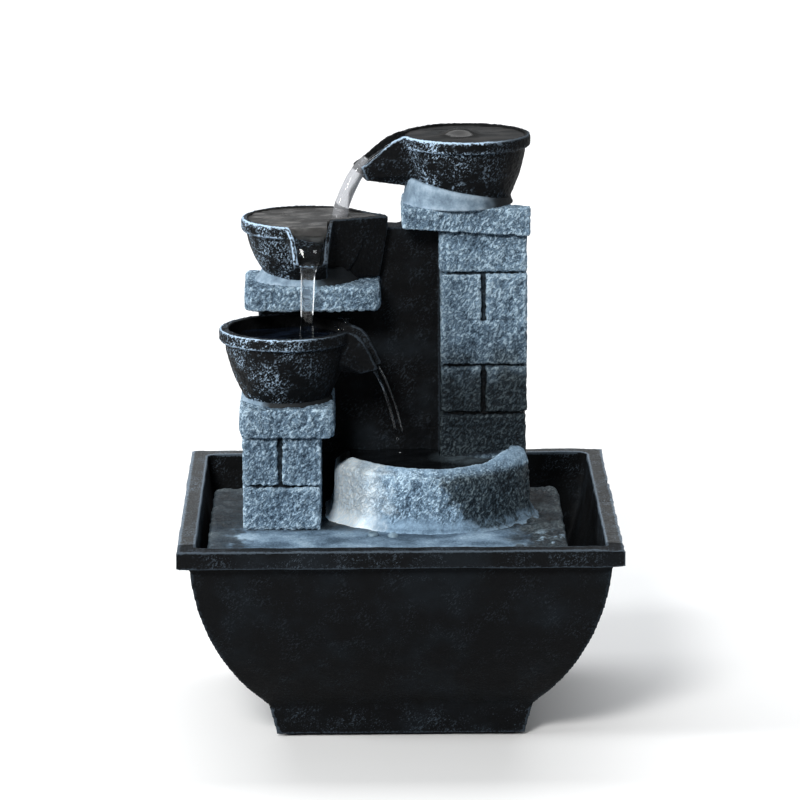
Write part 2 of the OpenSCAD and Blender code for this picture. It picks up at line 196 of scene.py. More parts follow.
def remesh(obj, voxel, soften=2):
    """One even skin over everything in obj, with its edges softened a little."""
    skin = obj.modifiers.new("skin", "REMESH")
    skin.mode = "VOXEL"
    skin.voxel_size = voxel * MM
    skin.use_smooth_shade = True
    ease = obj.modifiers.new("ease", "SMOOTH")
    ease.factor = 0.5
    ease.iterations = soften
    return settle(obj)


def vertex_arrays(mesh):
    count = len(mesh.vertices)
    points = np.empty(count * 3, np.float32)
    normals = np.empty(count * 3, np.float32)
    mesh.vertices.foreach_get("co", points)
    mesh.vertices.foreach_get("normal", normals)
    edges = np.empty(len(mesh.edges) * 2, np.int32)
    mesh.edges.foreach_get("vertices", edges)
    return points.reshape(-1, 3).astype(float), normals.reshape(-1, 3).astype(float), edges.reshape(-1, 2)


def edge_sharpness(points, normals, edges, rounds):
    """How far each vertex stands out of its smoothed surroundings, in millimetres."""
    count = len(points)
    degree = np.maximum(np.bincount(edges.ravel(), minlength=count), 1)[:, None]
    smooth = points
    for _ in range(rounds):
        total = np.zeros_like(points)
        for axis in range(3):
            total[:, axis] = (np.bincount(edges[:, 0], smooth[edges[:, 1], axis], count)
                    + np.bincount(edges[:, 1], smooth[edges[:, 0], axis], count))
        smooth = total / degree
    return np.sum((points - smooth) * normals, axis=1) / MM


def roughen(obj, relief, edge_rounds=10, edge_scale=0.35, brush=None):
    """Moves each vertex along its normal by relief(points, normals) millimetres, and keeps the
    relief, the edge sharpness and the amount of pale brushwork (on the cups and collars partly
    painted shade) as attributes for the materials."""
    mesh = obj.data
    points, normals, edges = vertex_arrays(mesh)
    edge = edge_sharpness(points, normals, edges, edge_rounds) / edge_scale
    height = relief(points / MM, normals)
    moved = points + normals * (height * MM)[:, None]
    mesh.vertices.foreach_set("co", moved.astype(np.float32).ravel())
    spread = max(float(np.abs(height).max()), 1e-6)
    painted = brush(points / MM, normals) if brush else np.ones(len(points))
    for name, values in (("relief", height / spread), ("edge", np.clip(edge, -1, 1)), ("brush", painted)):
        store = mesh.attributes.new(name, "FLOAT", "POINT")
        store.data.foreach_set("value", values.astype(np.float32))
    mesh.update()
    return shade_smooth(obj)


def take_place(obj, material, body, slot, *nodes):
    """Gives obj its material and lets it ride on a body, in place of CAD nodes."""
    obj.data.materials.clear()
    obj.data.materials.append(material)
    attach(obj, body)
    if nodes:
        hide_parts(*nodes)


# ---------------------------------------------------------------- relief of each kind of surface
def stone_relief(seed, depth=0.50, size=2.2):
    """Rough plaster: flat-topped crumbs between narrow torn valleys."""
    def relief(points, normals):
        warp = np.stack([layered_noise(points, 3.0, seed + 11 * k, 1) for k in range(3)], 1)
        bent = points + warp * 1.2
        crumbs = layered_noise(bent * (1.0, 1.0, 0.8), size, seed, 3)
        flat_top = np.clip(crumbs * 2.2 + 0.25, -1, 1)
        swell = layered_noise(points, 14, seed + 5, 2)
        return depth * (0.75 * flat_top + 0.25 * layered_noise(points, 0.9, seed + 9, 1)) + 0.35 * swell
    return relief


def cast_relief(seed, depth=0.16, swell=0.25):
    """Hand-painted cast resin: low lumps, small pits and grains."""
    def relief(points, normals):
        lumps = layered_noise(points, 9, seed, 2)
        grain = layered_noise(points, 1.5, seed + 3, 2)
        return swell * lumps * 0.6 + depth * grain
    return relief


# ---------------------------------------------------------------- material nodes
class Paint:
    """A material under construction, with short calls for the nodes it uses."""

    def __init__(self, name):
        self.material = bpy.data.materials.new(name)
        self.material.use_nodes = True
        self.tree = self.material.node_tree
        self.shader = self.tree.nodes["Principled BSDF"]
        self.place = self.add("ShaderNodeTexCoord").outputs["Object"]

    def add(self, kind, **settings):
        node = self.tree.nodes.new(kind)
        for key, value in settings.items():
            setattr(node, key, value)
        return node

    def feed(self, socket, value):
        if isinstance(value, (int, float, tuple)):
            socket.default_value = value
        else:
            self.tree.links.new(value, socket)

    def noise(self, size_mm, detail=3.0, rough=0.55, lean=None):
        """Procedural noise whose features are about size_mm across."""
        node = self.add("ShaderNodeTexNoise")
        node.inputs["Scale"].default_value = 1 / (size_mm * MM)
        node.inputs["Detail"].default_value = detail
        node.inputs["Roughness"].default_value = rough
        place = self.place
        if lean:
            turn = self.add("ShaderNodeMapping", vector_type="TEXTURE")
            turn.inputs["Rotation"].default_value = lean[0]
            turn.inputs["Scale"].default_value = lean[1]
            self.feed(turn.inputs["Vector"], place)
            place = turn.outputs["Vector"]
        self.feed(node.inputs["Vector"], place)
        return node.outputs["Fac"]

    def attribute(self, name):
        return self.add("ShaderNodeAttribute", attribute_name=name).outputs["Fac"]

    def math(self, operation, *values):
        node = self.add("ShaderNodeMath", operation=operation)
        for socket, value in zip(node.inputs, values):
            self.feed(socket, value)
        return node.outputs[0]

    def plus(self, a, b):
        return self.math("ADD", a, b)

    def times(self, a, b):
        return self.math("MULTIPLY", a, b)

    def line(self, value, slope, offset):
        return self.math("MULTIPLY_ADD", value, slope, offset)

    def most(self, a, b):
        return self.math("MAXIMUM", a, b)

    def step(self, value, low, high, out_low=0.0, out_high=1.0):
        """Smooth step of value from low..high to out_low..out_high."""
        node = self.add("ShaderNodeMapRange", interpolation_type="SMOOTHSTEP")
        self.feed(node.inputs["Value"], value)
        limits = {"From Min": low, "From Max": high, "To Min": out_low, "To Max": out_high}
        for socket, number in limits.items():
            node.inputs[socket].default_value = number
        return node.outputs["Result"]

    def waver(self, value, size_mm, by, detail=3, rough=0.55):
        """Moves a value up and down by up to `by`, in patches about size_mm across."""
        return self.plus(value, self.step(self.noise(size_mm, detail, rough), 0.3, 0.7, -by, by))

    def ramp(self, value, stops):
        node = self.add("ShaderNodeValToRGB")
        ramp = node.color_ramp
        while len(ramp.elements) < len(stops):
            ramp.elements.new(0.5)
        for element, (place, colour) in zip(ramp.elements, stops):
            element.position = place
            element.color = (*colour, 1)
        self.feed(node.inputs["Fac"], value)
        return node.outputs["Color"]

    def mix(self, factor, a, b, blend="MIX"):
        node = self.add("ShaderNodeMix", data_type="RGBA", blend_type=blend)
        self.feed(node.inputs["Factor"], factor)
        self.feed(node.inputs["A"], (*a, 1) if isinstance(a, tuple) else a)
        self.feed(node.inputs["B"], (*b, 1) if isinstance(b, tuple) else b)
        return node.outputs["Result"]

    def axis(self, index):
        """One object coordinate in millimetres."""
        split = self.add("ShaderNodeSeparateXYZ")
        self.feed(split.inputs[0], self.place)
        return self.times(split.outputs[index], 1 / MM)

    def bump(self, height, distance_mm):
        node = self.add("ShaderNodeBump")
        node.inputs["Distance"].default_value = distance_mm * MM
        node.inputs["Strength"].default_value = 1.0
        self.feed(node.inputs["Height"], height)
        return node.outputs["Normal"]

    def finish(self, colour, roughness, normal=None, specular=None, **more):
        self.feed(self.shader.inputs["Base Color"], colour)
        self.feed(self.shader.inputs["Roughness"], roughness)
        if normal is not None:
            self.feed(self.shader.inputs["Normal"], normal)
        if specular is not None:
            self.shader.inputs["Specular IOR Level"].default_value = specular
        for key, value in more.items():
            self.shader.inputs[key.replace("_", " ")].default_value = value
        return self.material


MORTAR_TONES = [(0.0, (0.10, 0.15, 0.21)), (0.5, (0.22, 0.31, 0.40)), (1.0, (0.38, 0.49, 0.60))]
WATER_IOR = 1.333
STONE_TONES = [(0.06, (0.026, 0.045, 0.070)), (0.32, (0.115, 0.182, 0.257)),
        (0.56, (0.256, 0.378, 0.507)), (0.82, (0.560, 0.740, 0.880))]


def stone_material(name, dark=None, tone=1.0, rough=None, mottle=0.06, pale=None, soak=0.11):
    """Blue-grey painted plaster.  dark says how wet a place is (on the trough partly painted shade,
    and on the deck spared at pebble crests as a painted highlight), rough how coarse its plaster
    is and pale how much painted light whitens it, each from 0 to 1 and each a function of the
    paint.  soak is what wet plaster keeps of its colour."""
    paint = Paint(name)
    edge = paint.attribute("edge")
    crumbs = paint.step(paint.noise(0.85, 3, 0.6, ((0.0, 0.65, 0.0), (1.0, 1.0, 1.9))), 0.45, 0.57)
    fine = paint.noise(0.55, 2, 0.6)
    coarse = rough(paint) if rough else 1.0
    level = paint.line(edge, 0.16, paint.line(paint.attribute("relief"), 0.24, 0.44))
    grain = paint.plus(paint.line(crumbs, 0.34, -0.16), paint.step(fine, 0.34, 0.66, -0.13, 0.13))
    level = paint.waver(paint.plus(level, paint.times(grain, coarse)), 16, mottle)
    colour = paint.ramp(level, [(place, tuple(c * tone for c in rgb)) for place, rgb in STONE_TONES])
    colour = paint.mix(paint.step(edge, -0.75, -0.22, 0.88, 0.0), colour, (0.010, 0.014, 0.018))
    roughness = paint.step(fine, 0.2, 0.8, 0.75, 0.95)
    # painted light: pale whitens the trough's left end, where the left column keeps the lamps off it
    if pale:
        white = paint.mix(crumbs, (0.74, 0.88, 0.98), (0.88, 0.96, 1.0))
        colour = paint.mix(pale(paint), colour, white)
    # dark darkens wet plaster; on the trough part of it is painted shade, and on the deck pebble crests are
    # spared as a painted highlight
    if dark:
        wet = dark(paint)
        soaked = paint.mix(crumbs, (soak, soak, soak * 0.95), (soak * 1.8, soak * 1.8, soak * 1.7))
        colour = paint.mix(1.0, colour, paint.mix(wet, (1.0, 1.0, 1.0), soaked), "MULTIPLY")
        roughness = paint.line(wet, -0.45, roughness)
    colour = paint.mix(paint.attribute("brush"), (0.006, 0.007, 0.008), colour)
    height = paint.times(paint.line(crumbs, 0.6, paint.times(fine, 0.8)), coarse)
    return paint.finish(colour, roughness, paint.bump(height, 0.60), 0.15)


def black_material(name, brush=1.0, speckle=1.0, base=0.0045, line=1.0, cloud=0.0, rim=False):
    """Near-black resin, dry-brushed with pale blue-grey: thin lines on its sharp edges, and
    broken strokes and flecks on its grain.  rim wears the most brushed places to grey."""
    paint = Paint(name)
    broken = paint.noise(1.0, 4, 0.7)
    patches = paint.noise(9, 3)
    grains = paint.noise(0.62, 3, 0.62)
    strokes = paint.noise(0.75, 3, 0.62, ((0.2, 0.75, 0.1), (1.0, 1.0, 2.0)))
    # the brush attribute is pale brushwork, cut back on the cups' right sides as painted shade
    brushed = paint.attribute("brush")
    sharp = paint.plus(paint.attribute("edge"), paint.step(broken, 0.3, 0.7, -0.30, 0.30))
    on_edge = paint.times(paint.step(sharp, 0.58, 0.88), line)
    on_patch = paint.step(paint.line(paint.attribute("relief"), 0.22, patches), 0.40, 0.66)
    on_grain = paint.times(paint.step(strokes, 0.54, 0.60), on_patch)
    flecks = paint.times(paint.step(grains, 0.61, 0.66), paint.step(patches, 0.36, 0.60))
    amount = paint.most(on_edge, paint.times(on_grain, 0.80 * brush))
    amount = paint.times(paint.most(amount, paint.times(flecks, 0.85 * speckle)), brushed)
    clouds = paint.step(paint.noise(26, 4), 0.45, 0.72, 0.0, cloud)
    ground = paint.mix(clouds, (base * 0.9, base, base * 1.15), (0.030, 0.042, 0.055))
    if rim:
        worn = paint.times(paint.step(brushed, 0.5, 0.9), paint.step(grains, 0.30, 0.62, 0.15, 1.0))
        ground = paint.mix(worn, ground, (0.085, 0.088, 0.090))
    colour = paint.mix(amount, ground, (0.48, 0.64, 0.82))
    height = paint.line(strokes, 0.6, paint.times(grains, 0.5))
    return paint.finish(colour, paint.step(broken, 0.2, 0.8, 0.45, 0.70), paint.bump(height, 0.30), 0.07)


def mortar_material(name):
    """Smooth pale mortar, stained in soft patches."""
    paint = Paint(name)
    fine = paint.noise(0.8, 4)
    stains = paint.step(paint.noise(5, 4), 0.3, 0.7, 0.2, 0.8)
    level = paint.plus(stains, paint.step(fine, 0.3, 0.7, -0.12, 0.12))
    level = paint.line(paint.attribute("edge"), 0.25, level)
    colour = paint.ramp(level, MORTAR_TONES)
    # painted shade: a low brush attribute darkens the collars' mortar toward their right
    colour = paint.mix(paint.attribute("brush"), (0.012, 0.015, 0.018), colour)
    return paint.finish(colour, paint.step(fine, 0.2, 0.8, 0.6, 0.85), paint.bump(fine, 0.08), 0.3)


def plastic_material(name, colour, rough):
    """Moulded plastic or rubber with a fine spark texture and faint scuffs."""
    paint = Paint(name)
    scuffs = paint.noise(7, 4)
    worn = tuple(min(1, c * 1.8 + 0.01) for c in colour)
    tint = paint.mix(paint.step(scuffs, 0.45, 0.7, 0.0, 0.35), colour, worn)
    roughness = paint.step(scuffs, 0.3, 0.7, rough - 0.06, rough + 0.12)
    return paint.finish(tint, roughness, paint.bump(paint.noise(0.35, 2), 0.03))


def metal_material(name, colour, rough):
    """Drawn metal with fine lines along the part."""
    paint = Paint(name)
    lines = paint.noise(0.3, 2, 0.5, ((0, 0, 0), (1.0, 0.05, 1.0)))
    tint = paint.mix(lines, tuple(c * 0.8 for c in colour), colour)
    roughness = paint.step(lines, 0.2, 0.8, rough, rough + 0.2)
    return paint.finish(tint, roughness, paint.bump(lines, 0.01), Metallic=1.0)


def water_material(name, tint=(0.93, 0.97, 1.0), rough=0.02, clear=1.0):
    """Falling water, as clear as glass or a little milky."""
    return Paint(name).finish((*tint, 1), rough, Transmission_Weight=clear, IOR=WATER_IOR)


def pool_material(name, deep, lit, glow=None, shine=0.5):
    """Dark standing water over black resin, with soft pale bands of painted reflection and sometimes a lit
    patch.
    """
    paint = Paint(name)
    # painted reflection: the pale bands and fine ripples stand for light mirrored on the water
    bands = paint.noise(6.0, 3, 0.5, ((0.0, 0.0, 0.25), (1.7, 1.0, 1.0)))
    fine = paint.noise(1.6, 2, 0.5, ((0.0, 0.0, 0.10), (2.0, 1.0, 1.0)))
    level = paint.plus(paint.step(bands, 0.42, 0.66, 0.0, 0.85), paint.step(fine, 0.5, 0.8, 0.0, 0.2))
    colour = paint.mix(level, deep, lit)
    if glow:
        colour = paint.mix(glow(paint), colour, (0.110, 0.145, 0.170))
    return paint.finish(colour, 0.13, paint.bump(bands, 0.25), shine, IOR=WATER_IOR)


def trough_glow(paint):
    """A blurred pale patch under the water at the right of the trough."""
    (x0, y0), (wide, deep) = (28.0, 4.0), (15.0, 13.0)
    x = paint.line(paint.axis(0), 1 / wide, -x0 / wide)
    y = paint.line(paint.axis(1), 1 / deep, -y0 / deep)
    far = paint.plus(paint.times(x, x), paint.times(y, y))
    return paint.times(paint.step(far, 1.3, 0.0), paint.step(paint.noise(5, 3), 0.3, 0.65, 0.45, 0.95))


# ---------------------------------------------------------------- sizes, in millimetres
# Each cup: rim and foot radius, top and base height, the band under the rim and the step under
# the band, and the thickness of its wall.
CUPS = {
    "lower_cup": dict(centre=(-46.0, -8.6), rim=27.8, foot=17.0, top=163.0, base=133.2,
        band=5.2, step=2.4, wall=4.0),
    "middle_cup": dict(centre=(-37.8, 14.5), rim=27.0, foot=17.0, top=205.0, base=181.0,
        band=5.4, step=2.2, wall=2.8),
    "top_cup": dict(centre=(28.4, 24.0), rim=27.1, foot=18.5, top=238.2, base=211.5,
        band=5.2, step=2.2, wall=2.4),
}
CUP_FLOOR = 5.0
WATER_LEVEL = {"lower_cup": 158.4, "middle_cup": 204.3, "top_cup": 237.5, "trough": 104.4}

# Each spout: heading in degrees, wall, channel depth at start and mouth, and stations of (lip out,
# lip height, underside out, underside height, half width, lean), measured from the rim's centre.
# The lean moves the left lip out and the right lip in.
SPOUTS = {
    "lower_cup": (-8, 2.0, 9.0, 5.0, [
        (15, 0.0, 12, -14, 8.0, 0), (27, -0.2, 19, -16, 8.0, 0), (30.5, -1.6, 22, -17, 7.8, 0),
        (33, -4.6, 24.5, -17.4, 7.5, 0), (35.6, -9.2, 27, -17.8, 7.1, 0), (38.6, -15.6, 30, -18.2, 6.8, 0)]),
    "middle_cup": (-86, 1.7, 5.0, 3.4, [
        (8, 0.0, 6, -12, 11.2, 6.4), (16.4, 0.0, 14, -14, 10.8, 6.4), (22, -1.2, 17.5, -15, 9.6, 4.4),
        (26.2, -3.8, 21, -15.6, 8.5, 2.4), (28.8, -8.6, 24, -16.2, 7.6, 1.0),
        (30.2, -14.4, 26.2, -17, 7.0, 0.2)]),
    "top_cup": (184, 2.0, 5.0, 4.2, [
        (16, 0.0, 14, -21, 8.6, 0), (26.5, -0.1, 24, -21, 8.2, 0.2), (31, -2.0, 29.5, -20.4, 7.8, 0.6),
        (36, -5.8, 34, -19.8, 7.4, 1.0), (40.6, -9.8, 38.4, -19.2, 7.1, 1.3),
        (45.0, -13.2, 41.8, -19.0, 6.8, 1.6)]),
}

# The middle cup is squared off at its right front, and runs out to a corner there.
EAR_FRONT = ((-29.0, 4.0), (-3.9, 14.3))
EAR_TOP = [(-33.0, 4.4), (-27.5, 4.6), (-3.9, 14.3), (-4.6, 18.6), (-19.5, 33.5), (-36.0, 33.5)]
EAR_FOOT = [(-33.0, 7.0), (-27.0, 7.2), (-7.6, 15.0), (-8.2, 18.6), (-20.6, 31.0), (-36.0, 31.0)]
EAR_LOW = 179.4

# The top of its hollow is widened into that corner, above this height.
EAR_RECESS = [(-30.0, 8.2), (-6.6, 16.0), (-6.8, 18.4), (-20.0, 31.0), (-34.0, 31.0)]
EAR_RECESS_LOW = 201.6

TROUGH = dict(centre=(13.5, 11.5), radius=44.5, left=-27.0, right=54.0, foot=81.0, crest=104.5, wall=7.0)
TROUGH_BACK = (20.3, 7.6)
COLUMNS = {
    "left_column": dict(courses=(81.0, 100.0, 121.6), groove=-48.9, halved=1, seed=71),
    "right_column": dict(courses=(81.0, 102.0, 122.4, 142.9, 162.3, 182.0, 203.0), groove=35.5,
        halved=0, seed=81),
}
BRICK_JOINT = 1.5
BRICK_RECESS = 2.4
TOP_COURSE_INSET = 3.0

# Each collar: (radius, height) upward, how far its left side is raised, how deep it is for its
# width, and from which x to which it is darkened as painted shade.
COLLARS = {
    "lower_cup": ([(19.0, 132.0), (18.6, 133.6), (17.6, 134.8), (16.4, 136.0), (14.6, 137.0)],
        0.0, 1.0, (-59.0, -52.0)),
    "middle_cup": ([(22.0, 178.2), (21.4, 179.4), (19.8, 181.2), (18.6, 183.4), (17.6, 185.2)],
        0.0, 0.86, (-39.0, -27.0)),
    "top_cup": ([(23.4, 209.0), (22.9, 210.5), (22.2, 213.0), (22.2, 215.6), (21.4, 216.6)],
        4.4, 1.0, (30.0, 42.0)),
}
RIM_DENTS = [((88.6, 28.6, 88.7), 2.2), ((86.4, -5.0, 88.7), 2.4)]


# Falling water: how its width is turned, in degrees, and stations of (x, y, z, half width, half
# thickness).
STREAMS = [
    ("water_fall_top", 94, [
        (-12.2, 21.5, 227.8, 4.5, 1.9), (-15.2, 21.3, 224.2, 4.5, 2.8), (-18.2, 21.1, 219.4, 4.4, 3.0),
        (-20.9, 21.0, 213.8, 4.2, 3.05), (-22.9, 21.0, 208.6, 4.1, 3.1), (-23.9, 21.0, 203.0, 4.2, 3.3)],
     dict(segments=28, smooth=10)),
    ("water_fall_middle", (20, 14, 8, 2, 0, 0, 0, 0, 0), [
        (-36.5, 0.0, 203.2, 7.2, 0.5), (-36.4, -5.0, 202.6, 6.8, 0.6), (-36.2, -9.6, 200.6, 6.0, 0.6),
        (-36.2, -12.6, 196.2, 5.2, 0.7), (-36.4, -14.2, 191.2, 4.2, 0.9), (-36.9, -14.6, 186.6, 3.0, 1.3),
        (-37.2, -14.6, 178.0, 2.7, 1.5), (-37.5, -14.4, 168.0, 2.6, 1.6), (-37.8, -14.2, 157.5, 2.9, 1.9)],
     {}),
    ("water_fall_lower", 82, [
        (-22.0, -11.6, 157.8, 5.0, 0.5), (-17.0, -12.4, 156.6, 4.6, 0.5), (-13.6, -13.0, 151.8, 3.8, 0.5),
        (-9.8, -13.5, 145.6, 2.6, 0.5), (-6.6, -13.8, 139.0, 1.3, 0.55), (-3.6, -13.9, 129.5, 0.7, 0.5),
        (-1.4, -13.9, 120.0, 0.55, 0.45)], {}),
    ("water_fall_lower_side", 82, [
        (-8.6, -14.4, 148.0, 0.3, 0.3), (-5.0, -14.6, 141.0, 0.5, 0.4), (-1.0, -14.8, 130.0, 0.45, 0.35),
        (1.6, -14.8, 119.0, 0.25, 0.25)], {}),
    ("water_run_top", 94, [
        (6.5, 22.5, 235.8, 4.8, 0.7), (0.5, 22.2, 234.8, 4.8, 0.8), (-5.0, 21.9, 231.8, 4.8, 1.0),
        (-11.0, 21.6, 227.4, 4.7, 1.3), (-14.4, 21.4, 224.0, 4.6, 1.6)], dict(smooth=10)),
]
# Beads of water, as (x, y, z, radius, height over width).
DROPS = [
    (-24.5, -2.5, 160.6, 0.9, 0.8), (-22.8, -4.5, 161.4, 0.6, 0.8), (-26.0, 0.5, 161.6, 0.7, 0.8),
    (-23.0, 0.8, 162.8, 0.8, 0.7), (-21.4, -2.2, 163.2, 0.5, 0.8), (-27.5, -4.0, 159.4, 0.7, 0.6),
    (-20.9, 1.8, 163.3, 0.6, 0.6), (-0.6, -13.9, 116.5, 0.5, 1.8), (0.4, -13.9, 111.0, 0.4, 2.0),
    (-26.2, 9.6, 162.6, 1.1, 0.5), (-23.6, 8.8, 163.0, 1.3, 0.45), (-20.8, 6.4, 163.2, 0.9, 0.5),
    (-24.8, 4.8, 162.4, 1.0, 0.5), (-22.0, 3.6, 163.4, 0.8, 0.6), (-27.6, 7.4, 161.8, 0.7, 0.6),
    (-33.2, -14.2, 158.8, 0.8, 0.6), (-41.4, -14.6, 158.8, 0.8, 0.6), (-36.0, -17.6, 158.8, 0.7, 0.5)]
BUBBLES = [(-10.8, -38.6, 82.0, 2.3, 0.75), (-2.8, -40.0, 81.7, 2.3, 0.75)]


def mm(*values):
    """Millimetres to metres."""
    return tuple(v * MM for v in values)


def mm_ring(points):
    return [mm(*p) for p in points]


# ---------------------------------------------------------------- cups and spouts
def cup_outline(cup):
    """Outline of a cup from its foot to its rim: a bowed side, then a plain band."""
    rim, foot, top, base = (cup[key] for key in ("rim", "foot", "top", "base"))
    side_top, side_r = top - cup["band"], rim - cup["step"]
    outline = [(side_r - (side_r - foot) * (1 - t) ** 1.6, base + (side_top - base) * t)
            for t in (i / 9 for i in range(10))]
    outline += [(rim - 0.5, side_top + 0.2), (rim, side_top + 1.0), (rim, top - 0.9), (rim - 0.5, top)]
    return mm_ring(outline)


def bowl_outline(cup, grow=0.0):
    """Outline of the hollow of a cup."""
    high, floor = cup["top"] + 1, cup["base"] + CUP_FLOOR - grow
    lip_r, floor_r = cup["rim"] - cup["wall"] + grow, cup["foot"] - 5
    side = [(lip_r - (lip_r - floor_r) * (1 - t) ** 2.4, floor + (high - floor) * t)
            for t in (i / 12 for i in range(13))]
    return mm_ring([(0.02, floor), *side, (lip_r, high + 4)])


def prism(name, plan, z0, z1):
    """An upright prism over a plan of (x, y) points."""
    return loft(name, [mm_ring([(x, y, z0) for x, y in plan]), mm_ring([(x, y, z1) for x, y in plan])])


def ear_cutter(setback):
    """Everything in front of the middle cup's straight front edge, less a setback."""
    (x0, y0), (x1, y1) = EAR_FRONT
    past, front = x1 + 8, -40
    plan = [(x0, y0 + setback), (past, y1 + setback + 3.3), (past, front), (x0, front)]
    return prism("cutter", plan, 150, 240)


def hollow_solid(node, grow=0.0):
    """The space inside a cup, as a solid to cut with or to fill with water."""
    cup = CUPS[node]
    hollow = revolve("hollow", bowl_outline(cup, grow), mm(*cup["centre"]), segments=120)
    if node == "middle_cup":
        carve(hollow, ear_cutter(2.4 - grow))
        shift = ((0, -grow), (grow, -grow), (grow, 0), (0, grow), (0, 0))
        recess = [(x + dx, y + dy) for (x, y), (dx, dy) in zip(EAR_RECESS, shift)]
        unite(hollow, prism("recess", recess, EAR_RECESS_LOW - grow, cup["top"] + 4))
    return hollow


def mirrored(half):
    """A whole section from its left half, which ends on the middle line."""
    return half + [(-across, depth) for across, depth in half[-2::-1]]


SPOUT_OUTSIDE = mirrored([(-1.0, 0.0), (-1.0, 0.45), (-0.88, 0.8), (-0.55, 1.0), (0.0, 1.04)])
SPOUT_INSIDE = mirrored([(-1.06, -12.0), (-1.0, 0.0), (-0.92, 0.55), (-0.6, 0.92), (0.0, 1.0)])


def heading_frame(cup, heading):
    """Turns (out, across, height) from the rim's centre into a place."""
    (cx, cy), turn = cup["centre"], math.radians(heading)

    def place(out, across, height):
        return mm(cx + out * math.cos(turn) - across * math.sin(turn),
                  cy + out * math.sin(turn) + across * math.cos(turn), cup["top"] + height)
    return place


def spout_body(cup, heading, stations):
    """The solid outside of a spout, lofted through its stations."""
    place = heading_frame(cup, heading)
    rings = []
    for lip_out, lip_z, low_out, low_z, half, lean in stations:
        rings.append([place(lip_out + (low_out - lip_out) * drop - lean * across * (1 - 0.5 * drop),
                across * half, lip_z + (low_z - lip_z) * drop) for across, drop in SPOUT_OUTSIDE])
    return loft("spout", rings)


def spout_channel(cup, heading, wall, deep_start, deep_mouth, stations):
    """The channel that is cut into a spout, open above its lips and running on past its mouth."""
    place = heading_frame(cup, heading)
    last = len(stations) - 1
    end = stations[-1]
    ahead, fall = end[0] - stations[-2][0], end[1] - stations[-2][1]
    beyond = (end[0] + ahead, end[1] + fall, end[2] + ahead, end[3] + fall, end[4], end[5])
    rings = []
    for i, (lip_out, lip_z, low_out, low_z, half, lean) in enumerate(stations + [beyond]):
        length = math.hypot(low_out - lip_out, low_z - lip_z)
        down = ((low_out - lip_out) / length, (low_z - lip_z) / length)
        deep = deep_start + (deep_mouth - deep_start) * min(i, last) / last
        ring = []
        for across, depth in SPOUT_INSIDE:
            run = depth * deep if depth > 0 else depth
            ring.append(place(lip_out + down[0] * run - lean * across, across * (half - wall),
                    lip_z + down[1] * run))
        rings.append(ring)
    return loft("channel", rings)


def make_cup(node):
    """A cast cup with its spout, as one skin."""
    cup = CUPS[node]
    heading, wall, deep_start, deep_mouth, stations = SPOUTS[node]
    obj = revolve(node + "_look", cup_outline(cup), mm(*cup["centre"]), segments=120)
    if node == "middle_cup":
        carve(obj, ear_cutter(0.0))
        levels = ((EAR_FOOT, EAR_LOW), (EAR_TOP, cup["top"] - 5), (EAR_TOP, cup["top"]))
        unite(obj, loft("ear", [mm_ring([(x, y, z) for x, y in plan]) for plan, z in levels]))
    unite(obj, spout_body(cup, heading, stations))
    carve(obj, hollow_solid(node))
    carve(obj, spout_channel(cup, heading, wall, deep_start, deep_mouth, stations))
    return remesh(obj, 0.46)


def cup_brush_and_shade(node):
    """Pale brushwork lies on the outside of a cup, most on its left and front; toward the right it fades out
    as painted shade.
    """
    cup = CUPS[node]
    rim, band_low = cup["rim"], cup["top"] - cup["band"]

    def brush(points, normals):
        x, y, z = (points - (*cup["centre"], 0)).T
        reach = np.maximum(np.hypot(x, y), 1e-6)
        outward = (normals[:, 0] * x + normals[:, 1] * y) / reach
        outside = np.maximum(smooth_step(-0.15, 0.25, outward), smooth_step(rim - 1.6, rim - 0.6, reach))
        # painted shade: the brushwork is faded out toward the cup's right side
        shade = 0.05 + 0.95 * smooth_step(rim * 0.75, -rim * 0.35, x)
        band = smooth_step(band_low - 1.2, band_low - 0.4, z)
        more = 0.6 * band
        if node == "top_cup":
            more = 1.3 * band
            outside = outside * smooth_step(10.0, 4.0, y - 0.25 * np.minimum(x, 0))
            body = 0.30 + 0.70 * smooth_step(-rim - 2, -rim * 0.6, x)
            shade = shade * np.maximum(body, smooth_step(0.4, 0.8, normals[:, 2]))
        elif node == "middle_cup":
            # painted shade: the middle cup's right side keeps almost no brushwork
            shade = np.where(x > 10.5, 0.04, np.where(x > 3.0, 0.14, 1.0))
        else:
            more = more + 0.7 * smooth_step(0, -16, x) * smooth_step(cup["top"] - 14, cup["base"] + 2, z)
        return outside * shade * (1 + more)
    return brush


# ---------------------------------------------------------------- masonry
def split(low, high, count):
    """Cuts low..high into so many equal bricks."""
    step = (high - low) / count
    cuts = [low] + [low + step * k for k in range(1, count)] + [high]
    return list(zip(cuts[:-1], cuts[1:]))


def brick_column(node):
    """A column of cast bricks, each set a little unevenly on a recessed core."""
    low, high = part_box(node)
    column = COLUMNS[node]
    courses, groove = column["courses"], column["groove"] * MM
    rng = np.random.default_rng(column["seed"])
    recess = BRICK_RECESS * MM
    gap = BRICK_JOINT * MM / 2
    wide = gap * 1.6
    parts = [block("core", (low.x + recess, low.y + recess, courses[0] * MM),
            (high.x - recess, high.y - recess, courses[-1] * MM))]
    for k, (z0, z1) in enumerate(zip(courses[:-1], courses[1:])):
        halved = k % 2 == column["halved"]
        across = [(low.x, groove), (groove, high.x)] if halved else [(low.x, high.x)]
        along = split(low.y, high.y, 1 if halved else 2)
        for (x0, x1), (y0, y1) in itertools.product(across, along):
            push = rng.uniform(-0.3, 0.3, 6) * MM
            x_in = wide if x0 > low.x else push[0]
            if node == "right_column" and z1 == courses[-1]:
                x_in = TOP_COURSE_INSET * MM
            x_out = wide if x1 < high.x else push[1]
            y_in = gap if y0 > low.y else push[2]
            y_out = gap if y1 < high.y else push[3]
            parts.append(block("brick", (x0 + x_in, y0 + y_in, z0 * MM + gap),
                    (x1 - x_out, y1 - y_out, z1 * MM - gap)))
    if node == "right_column":
        parts.append(block("strip", mm(17.5, low.y / MM + 0.9, 182.6), mm(20.4, 30, 199.0)))
    return join(node + "_look", parts)


